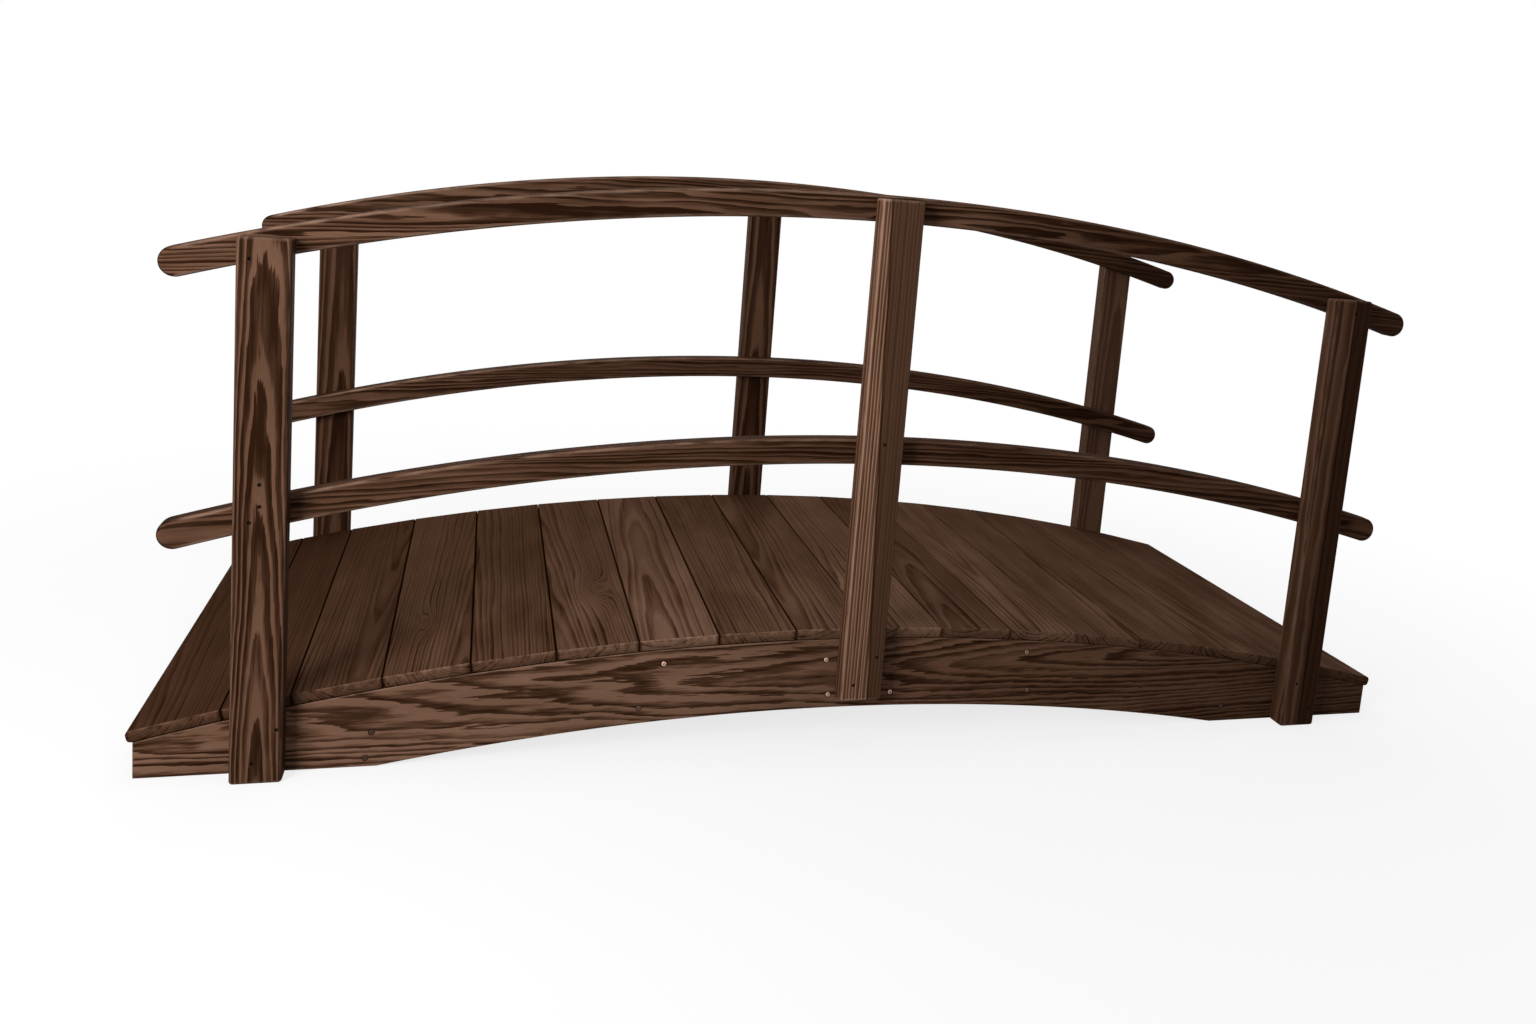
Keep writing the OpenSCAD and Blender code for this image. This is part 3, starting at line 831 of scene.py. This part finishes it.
def deckTree():
    tree, given = newTree("deckBoards", (
        ("First Board", "Object"), ("Plain Board", "Object"), ("Last Board", "Object"),
        ("Board Count", "Int"), ("Pitch", "Float"), ("Gap", "Float"), ("Ripped Share", "Float"),
        ("Arc Radius", "Float"), ("Arc Centre", "Float"), ("Half Angle", "Float"), ("Fray Depth", "Float"),
        ("Dark Boards", "Float"), ("Dark Tone", "Float"), ("Pale Tone", "Float"), ("Seed", "Int"),
        ("Tone Seed", "Int"), ("Finish", "Material")))
    index = tree.nodes.new("GeometryNodeInputIndex").outputs[0]

    # where a board starts along the arc and how wide it is, the second one being ripped narrower
    isRipped = calc(tree, "COMPARE", index, 1.0, 0.1)
    pastRipped = calc(tree, "GREATER_THAN", index, 1.5)
    lost = calc(tree, "SUBTRACT", 1.0, given["Ripped Share"])
    share = calc(tree, "SUBTRACT", 1.0, calc(tree, "MULTIPLY", isRipped, lost))
    start = calc(tree, "SUBTRACT", index, calc(tree, "MULTIPLY", pastRipped, lost))
    centre = calc(tree, "MULTIPLY", calc(tree, "MULTIPLY_ADD", share, 0.5, start), given["Pitch"])
    angle = calc(tree, "SUBTRACT", calc(tree, "DIVIDE", centre, given["Arc Radius"]), given["Half Angle"])
    x = calc(tree, "MULTIPLY", calc(tree, "SINE", angle), given["Arc Radius"])
    z = calc(tree, "MULTIPLY_ADD", calc(tree, "COSINE", angle), given["Arc Radius"], given["Arc Centre"])
    full = calc(tree, "SUBTRACT", given["Pitch"], given["Gap"])
    narrow = calc(tree, "SUBTRACT", calc(tree, "MULTIPLY", share, given["Pitch"]), given["Gap"])

    spots = addNode(tree, "GeometryNodePoints", {"Count": given["Board Count"]}).outputs[0]
    spots = addNode(tree, "GeometryNodeSetPosition", {
        "Geometry": spots, "Position": vectorOf(tree, x, 0.0, z)}).outputs[0]
    patterns = tree.nodes.new("GeometryNodeGeometryToInstance")
    for label in ("Last Board", "Plain Board", "First Board"):  # a later link comes first in the list
        pattern = addNode(tree, "GeometryNodeObjectInfo", {"Object": given[label]})
        tree.links.new(pattern.outputs["Geometry"], patterns.inputs[0])
    isLast = calc(tree, "COMPARE", index, calc(tree, "SUBTRACT", given["Board Count"], 1.0), 0.1)
    choice = calc(tree, "ADD", calc(tree, "GREATER_THAN", index, 0.5), isLast)
    boards = addNode(tree, "GeometryNodeInstanceOnPoints", {
        "Points": spots, "Instance": patterns.outputs[0], "Pick Instance": True,
        "Instance Index": choice, "Rotation": vectorOf(tree, 0.0, angle, 0.0),
        "Scale": vectorOf(tree, calc(tree, "DIVIDE", narrow, full), 1.0, 1.0)}).outputs[0]

    # every board is sawn from another place in its log, and the first ones are darker
    logSeed, leanSeed = (calc(tree, "ADD", given["Seed"], step) for step in (1.0, 3.0))
    lean = boardLog["lean"]
    log = chance(tree, "FLOAT_VECTOR", boardLog["low"], boardLog["high"], logSeed)
    settled = remap(tree, index, (0.0, given["Dark Boards"]), (given["Dark Tone"], given["Pale Tone"]))
    tone = calc(tree, "MULTIPLY", chance(tree, "FLOAT", *boardLog["tones"], given["Tone Seed"]), settled)
    tilt = chance(tree, "FLOAT_VECTOR", (0.0, -lean, -lean), (0.0, lean, lean), leanSeed)
    boards = store(tree, boards, "log", log, "FLOAT_VECTOR", "INSTANCE")
    boards = store(tree, boards, "boardTone", tone, "FLOAT", "INSTANCE")
    boards = store(tree, boards, "board", index, "FLOAT", "INSTANCE")
    boards = store(tree, boards, "lean", tilt, "FLOAT_VECTOR", "INSTANCE")
    solid = realized(tree, boards)
    own = named(tree, "grain", "FLOAT_VECTOR")
    run, side = partsOf(tree, own)[:2]
    tilted = vectorCalc(tree, "MULTIPLY", named(tree, "lean", "FLOAT_VECTOR"), vectorOf(tree, run, run, run))
    moved = vectorCalc(tree, "ADD", own, named(tree, "log", "FLOAT_VECTOR"))
    moved = vectorCalc(tree, "ADD", moved, tilted)

    # lines that swirl round a knot on some boards
    swirl = None
    for spot in deckEyes:
        here = calc(tree, "COMPARE", named(tree, "board"), float(spot["board"]), 0.1)
        parts = []
        for value, place, size in zip((run, side), spot["place"], spot["size"]):
            away = calc(tree, "DIVIDE", calc(tree, "SUBTRACT", value, place), size)
            parts.append(calc(tree, "MULTIPLY", here, away))
        knot = vectorOf(tree, *parts, calc(tree, "MULTIPLY", here, spot["push"]))
        swirl = knot if swirl is None else vectorCalc(tree, "ADD", swirl, knot)
    solid = store(tree, solid, "eye", swirl, "FLOAT_VECTOR")
    solid = store(tree, solid, "grain", moved, "FLOAT_VECTOR")

    # tone of the ends, strength of the lines, and dirt with painted shade and wear with painted highlights
    # change from board to board
    fades = {key: remap(tree, named(tree, "board"), *ranges) for key, ranges in boardFades.items()}
    isEnd = calc(tree, "ADD", named(tree, "heart"), 1.0)
    endShare = calc(tree, "MULTIPLY_ADD", isEnd, fades["endTone"], 1.0)
    solid = store(tree, solid, "tone", calc(tree, "MULTIPLY", named(tree, "boardTone"), endShare))
    for mark, fade in (("figure", "figure"), ("soil", "edges"), ("wear", "edges")):
        solid = store(tree, solid, mark, calc(tree, "MULTIPLY", named(tree, mark), fades[fade]))

    # the saw frays the ends, so their rims are pulled back here and there
    fray = named(tree, "fray")
    rough = addNode(tree, "ShaderNodeTexNoise", {"Vector": moved, "Scale": fraying["scale"], "Detail": 2.0})
    bite = calc(tree, "SUBTRACT", rough.outputs["Fac"], fraying["from"], clamp=True)
    bite = calc(tree, "MULTIPLY", calc(tree, "MULTIPLY", bite, given["Fray Depth"]), fraying["gain"])
    back = calc(tree, "MULTIPLY", calc(tree, "MULTIPLY", bite, fray), -1.0)
    down = calc(tree, "MULTIPLY", bite, calc(tree, "ABSOLUTE", fray))
    down = calc(tree, "MULTIPLY", down, fraying["drop"])
    solid = addNode(tree, "GeometryNodeSetPosition", {
        "Geometry": solid, "Offset": vectorOf(tree, 0.0, back, down)}).outputs[0]
    return endTree(tree, solid, given["Finish"])


deckPiece = grown("deckBoards", deckTree(), {
    **deck, **boardPatterns, "Pitch": boardPitch, "Arc Radius": deckRadius,
    "Arc Centre": stringer["crown"] - stringerTopRadius, "Half Angle": deckHalfAngle, "Finish": deckPine})
for pattern in boardPatterns.values():
    bpy.data.objects.remove(pattern)

# painted shadow of the far posts, cast on the deck by their feet
footShade = {"reach": (0.075, 0.15), "depth": 0.30}
co = coordsOf(deckPiece.data)
soil = np.zeros(len(co))
deckPiece.data.attributes["soil"].data.foreach_get("value", soil)
for place in ("left", "middle", "right"):
    low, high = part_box("back_" + place + "_post")
    away = ((co[:, 0] - (low.x + high.x) / 2) / footShade["reach"][0]) ** 2
    away += ((co[:, 1] - low.y) / footShade["reach"][1]) ** 2
    soil = np.maximum(soil, footShade["depth"] * np.exp(-away))
keepValues(deckPiece.data, "soil", soil)
deckNodes = ["deck_board_%02d" % (i + 1) for i in range(deck["Board Count"])]
timberPieces[deckPiece] = (deckNodes, "deck_pine")
print("deck made:", len(deckPiece.data.polygons), "faces")

# screw heads and sunk nails: size, lift and lobes of the rings that make a head, as shares of its radius
screw = {"radius": 0.0046, "sink": 0.0009, "seed": 3, "stainShare": 0.85, "points": 32, "recess": (0.75, 0.1),
         "rings": [(1.0, -0.10, 0.0), (1.0, 0.0, 0.0), (0.95, 0.09, 0.0), (0.86, 0.13, 0.0),
                   (0.60, 0.17, 0.0), (0.46, 0.17, 0.55), (0.40, 0.02, 0.55), (0.12, -0.25, 0.3)],
         "finish": "screwMetal",
         "look": {"bright": (0.66, 0.42, 0.30), "stained": (0.050, 0.024, 0.015), "roughness": 0.45,
                  "specular": 0.25}}
nail = {"radius": 0.97 * nailHole["radius"], "seed": 5, "stain": 0.5, "points": 16,
        "rings": [(1.0, -0.25, 0.0), (1.0, 0.0, 0.0), (0.85, 0.12, 0.0), (0.45, 0.05, 0.0),
                  (0.30, -0.10, 0.0)],
        "finish": "nailMetal",
        "look": {"bright": (0.03, 0.022, 0.018), "stained": (0.012, 0.009, 0.007), "roughness": 0.55,
                 "specular": 0.15}}
grime = {"scale": 600.0, "from": 0.45, "gain": 0.9, "bump": 0.2, "bumpDepth": 0.0002, "metallic": 0.75,
         "metallicLoss": -0.8, "roughening": 0.3}
lobes = (0.5, 0.08)  # of a screw's cross recess, broad and fine
headAngle = 40  # edges sharper than this stay sharp


def metalFinish(name, look):
    material, tree = newFinish(name)
    spot = addNode(tree, "ShaderNodeTexCoord").outputs["Object"]
    dirt = addNode(tree, "ShaderNodeTexNoise", {"Vector": spot, "Scale": grime["scale"],
                                                "Detail": 3.0}).outputs["Fac"]
    added = calc(tree, "MULTIPLY", calc(tree, "SUBTRACT", dirt, grime["from"]), grime["gain"])
    share = calc(tree, "ADD", pieceMark(tree, "stained"), added, clamp=True)
    # painted shade in the screws' cross recess, drawn in the stained colour
    share = calc(tree, "MAXIMUM", share, pieceMark(tree, "recess"))
    colour = mixColours(tree, share, (*look["bright"], 1.0), (*look["stained"], 1.0))
    metal = calc(tree, "MULTIPLY_ADD", share, grime["metallicLoss"], grime["metallic"], clamp=True)
    rough = calc(tree, "MULTIPLY_ADD", share, grime["roughening"], look["roughness"], clamp=True)
    bump = addNode(tree, "ShaderNodeBump", {"Strength": grime["bump"], "Distance": grime["bumpDepth"],
                                            "Height": dirt})
    shader = addNode(tree, "ShaderNodeBsdfPrincipled", {
        "Base Color": colour, "Metallic": metal, "Roughness": rough, "Normal": bump.outputs[0],
        "Specular IOR Level": look["specular"]})
    addNode(tree, "ShaderNodeOutputMaterial", {"Surface": shader.outputs[0]})
    return material


def headMesh(name, head):
    points, count = [], head["points"]
    for size, lift, lobe in head["rings"]:
        for k in range(count):
            angle = 2 * math.pi * k / count
            cross = lobes[0] * math.cos(4 * angle) + lobes[1] * math.cos(8 * angle)
            r = head["radius"] * size * (1 + lobe * cross)
            points.append((r * math.cos(angle), r * math.sin(angle), head["radius"] * lift))
    mesh = meshFrom(name, points, tubeFaces(count, len(head["rings"])))
    # painted shade for the cross recess
    if "recess" in head:
        reach, top = head["recess"]
        x, y, z = coordsOf(mesh).T / head["radius"]
        keepValues(mesh, "recess", (np.hypot(x, y) < reach) & (z < top))
    softShade(mesh, headAngle)
    return mesh


def fastenerTree():
    tree, given = newTree("fasteners", (("Head", "Object"), ("Seed", "Int"), ("Finish", "Material")))
    aimed = addNode(tree, "FunctionNodeAlignRotationToVector", {
        "Vector": named(tree, "facing", "FLOAT_VECTOR")}, axis="Z").outputs[0]
    turn = chance(tree, "FLOAT", 0.0, 6.28, given["Seed"])  # up to a full turn
    spin = addNode(tree, "FunctionNodeAxisAngleToRotation", {
        "Axis": (0.0, 0.0, 1.0), "Angle": turn}).outputs[0]
    turned = addNode(tree, "FunctionNodeRotateRotation", {"Rotation": aimed, "Rotate By": spin},
                     rotation_space="LOCAL").outputs[0]
    head = addNode(tree, "GeometryNodeObjectInfo", {"Object": given["Head"]}).outputs["Geometry"]
    spots = addNode(tree, "GeometryNodeMeshToPoints", {"Mesh": given["Geometry"]}).outputs[0]
    heads = addNode(tree, "GeometryNodeInstanceOnPoints", {"Points": spots, "Instance": head,
                                                           "Rotation": turned}).outputs[0]
    return endTree(tree, realized(tree, heads), given["Finish"])


fasteners = fastenerTree()


def fastened(name, head, spots, signs, stains):
    seats = bpy.data.meshes.new(name + "Spots")
    seats.from_pydata(spots, [], [])
    keepValues(seats, "facing", np.array([(0.0, sign, 0.0) for sign in signs]))
    keepValues(seats, "stained", stains)
    pattern = placed(headMesh(name + "Head", head))
    piece = grown(name, fasteners, {"Head": pattern, "Seed": head["seed"],
                                    "Finish": metalFinish(head["finish"], head["look"])}, seats)
    bpy.data.objects.remove(pattern)
    return piece


screwSpots, screwSigns, screwStains = [], [], []
for side, sign in sideSigns.items():
    faceY = outerFace(*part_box(side + "_stringer"), sign)
    for x, z, stained in stringerScrews:
        screwSpots.append((x, faceY - sign * screw["sink"], z))
        screwSigns.append(sign)
        screwStains.append(stained * screw["stainShare"])
screwPiece = fastened("stringerScrews", screw, screwSpots, screwSigns, screwStains)
nailPiece = fastened("postNails", nail, nailSpots, nailSigns, [nail["stain"]] * len(nailSpots))
print("fasteners made:", len(screwSpots), "screws and", len(nailSpots), "nails")

# the pieces take their places in the frame
for piece, (nodes, slotName) in timberPieces.items():
    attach(piece, "root")
    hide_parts(*nodes)
for piece in (screwPiece, nailPiece):
    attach(piece, "root")

# pale floor that stays white to the camera and keeps a soft shadow
studio = {"floorSize": 14.0, "floorDrop": 0.0005, "floorColour": 0.45, "shadowColour": 0.95,
          "shadowShare": 0.22, "shadowReach": (0.9, 2.6), "skyStrength": 0.28}
white = (1.0, 1.0, 1.0, 1.0)


def seenDirectly(tree):  # by the camera, or in metal and glass
    path = addNode(tree, "ShaderNodeLightPath").outputs
    mirrored = calc(tree, "MAXIMUM", path["Is Glossy Ray"], path["Is Transmission Ray"])
    return calc(tree, "MAXIMUM", path["Is Camera Ray"], mirrored)


def floorFinish():
    material, tree = newFinish("paleFloor")
    plain, shaded = (addNode(tree, "ShaderNodeBsdfDiffuse", {"Color": (v, v, v, 1.0)}).outputs[0]
                     for v in (studio["floorColour"], studio["shadowColour"]))
    glow = addNode(tree, "ShaderNodeEmission", {"Color": white, "Strength": 1.0}).outputs[0]
    away = vectorCalc(tree, "LENGTH", addNode(tree, "ShaderNodeTexCoord").outputs["Object"])
    share = remap(tree, away, studio["shadowReach"], (studio["shadowShare"], 0.0),
                  interpolation_type="SMOOTHSTEP")
    pale = addNode(tree, "ShaderNodeMixShader", {"Fac": share, 1: glow, 2: shaded}).outputs[0]
    mixed = addNode(tree, "ShaderNodeMixShader", {"Fac": seenDirectly(tree), 1: plain, 2: pale}).outputs[0]
    addNode(tree, "ShaderNodeOutputMaterial", {"Surface": mixed})
    return material


half = studio["floorSize"] / 2
floorMesh = bpy.data.meshes.new("studioFloor")
floorCorners = [(-half, -half, 0), (half, -half, 0), (half, half, 0), (-half, half, 0)]
floorMesh.from_pydata(floorCorners, [], [(0, 1, 2, 3)])
floorMesh.materials.append(floorFinish())
floor = placed(floorMesh)
floor.location.z = -studio["floorDrop"]

scene.world = bpy.data.worlds.new("studioWorld")
scene.world.use_nodes = True
skyTree = scene.world.node_tree
skyTree.nodes.clear()
sky = studio["skyStrength"]
strength = calc(skyTree, "MULTIPLY_ADD", seenDirectly(skyTree), 1.0 - sky, sky)
background = addNode(skyTree, "ShaderNodeBackground", {"Color": white, "Strength": strength})
addNode(skyTree, "ShaderNodeOutputWorld", {"Surface": background.outputs[0]})


def stand(name, data):
    holder = bpy.data.objects.new(name, data)
    scene.collection.objects.link(holder)
    return holder


# soft lamps: a large one overhead, a nearer one off the front left and a weak one behind
lamps = {"overhead": {"place": (0.2, 0.3, 3.6), "aim": (0.0, 0.0, 0.2), "size": 3.2, "power": 46.0},
         "frontLeft": {"place": (-2.3, -2.1, 1.5), "aim": (-0.7, -0.4, 0.3), "size": 1.2, "power": 64.0},
         "behind": {"place": (-0.2, 3.4, 1.0), "aim": (0.0, 0.4, 0.4), "size": 2.4, "power": 36.0}}
for name, lamp in lamps.items():
    light = bpy.data.lights.new(name, "AREA")
    light.shape = "SQUARE"
    light.size = lamp["size"]
    light.energy = lamp["power"]
    holder = stand(name, light)
    holder.location = lamp["place"]
    holder.rotation_euler = (Vector(lamp["aim"]) - Vector(lamp["place"])).to_track_quat("-Z", "Y").to_euler()

# camera as the photograph was taken, with its focal length and middle in pixels of that image
shot = {"place": (-0.679047, -2.507087, 1.078280), "yaw": 0.276095, "pitch": -0.134712, "roll": 0.080780,
        "focal": 1184.081, "middle": (817.456, 334.899), "image": (1536, 1024), "sensor": 36.0,
        "clipEnd": 60.0}
yaw, pitch, roll = shot["yaw"], shot["pitch"], shot["roll"]
imageWidth, imageHeight = shot["image"]
forward = Vector((math.sin(yaw) * math.cos(pitch), math.cos(yaw) * math.cos(pitch), math.sin(pitch)))
level = Vector((math.cos(yaw), -math.sin(yaw), 0.0))
upright = level.cross(forward)
right = math.cos(roll) * level + math.sin(roll) * upright
up = -math.sin(roll) * level + math.cos(roll) * upright
camera = bpy.data.cameras.new("photoCamera")
camera.sensor_fit = "HORIZONTAL"
camera.sensor_width = shot["sensor"]
camera.lens = shot["focal"] * shot["sensor"] / imageWidth
camera.shift_x = (imageWidth / 2 - shot["middle"][0]) / imageWidth
camera.shift_y = (shot["middle"][1] - imageHeight / 2) / imageWidth
camera.clip_end = shot["clipEnd"]
scene.camera = stand("photoCamera", camera)
scene.camera.matrix_world = Matrix(((right.x, up.x, -forward.x, shot["place"][0]),
                                    (right.y, up.y, -forward.y, shot["place"][1]),
                                    (right.z, up.z, -forward.z, shot["place"][2]), (0, 0, 0, 1)))
scene.view_settings.view_transform = "Standard"
print("stage, lamps and camera made")
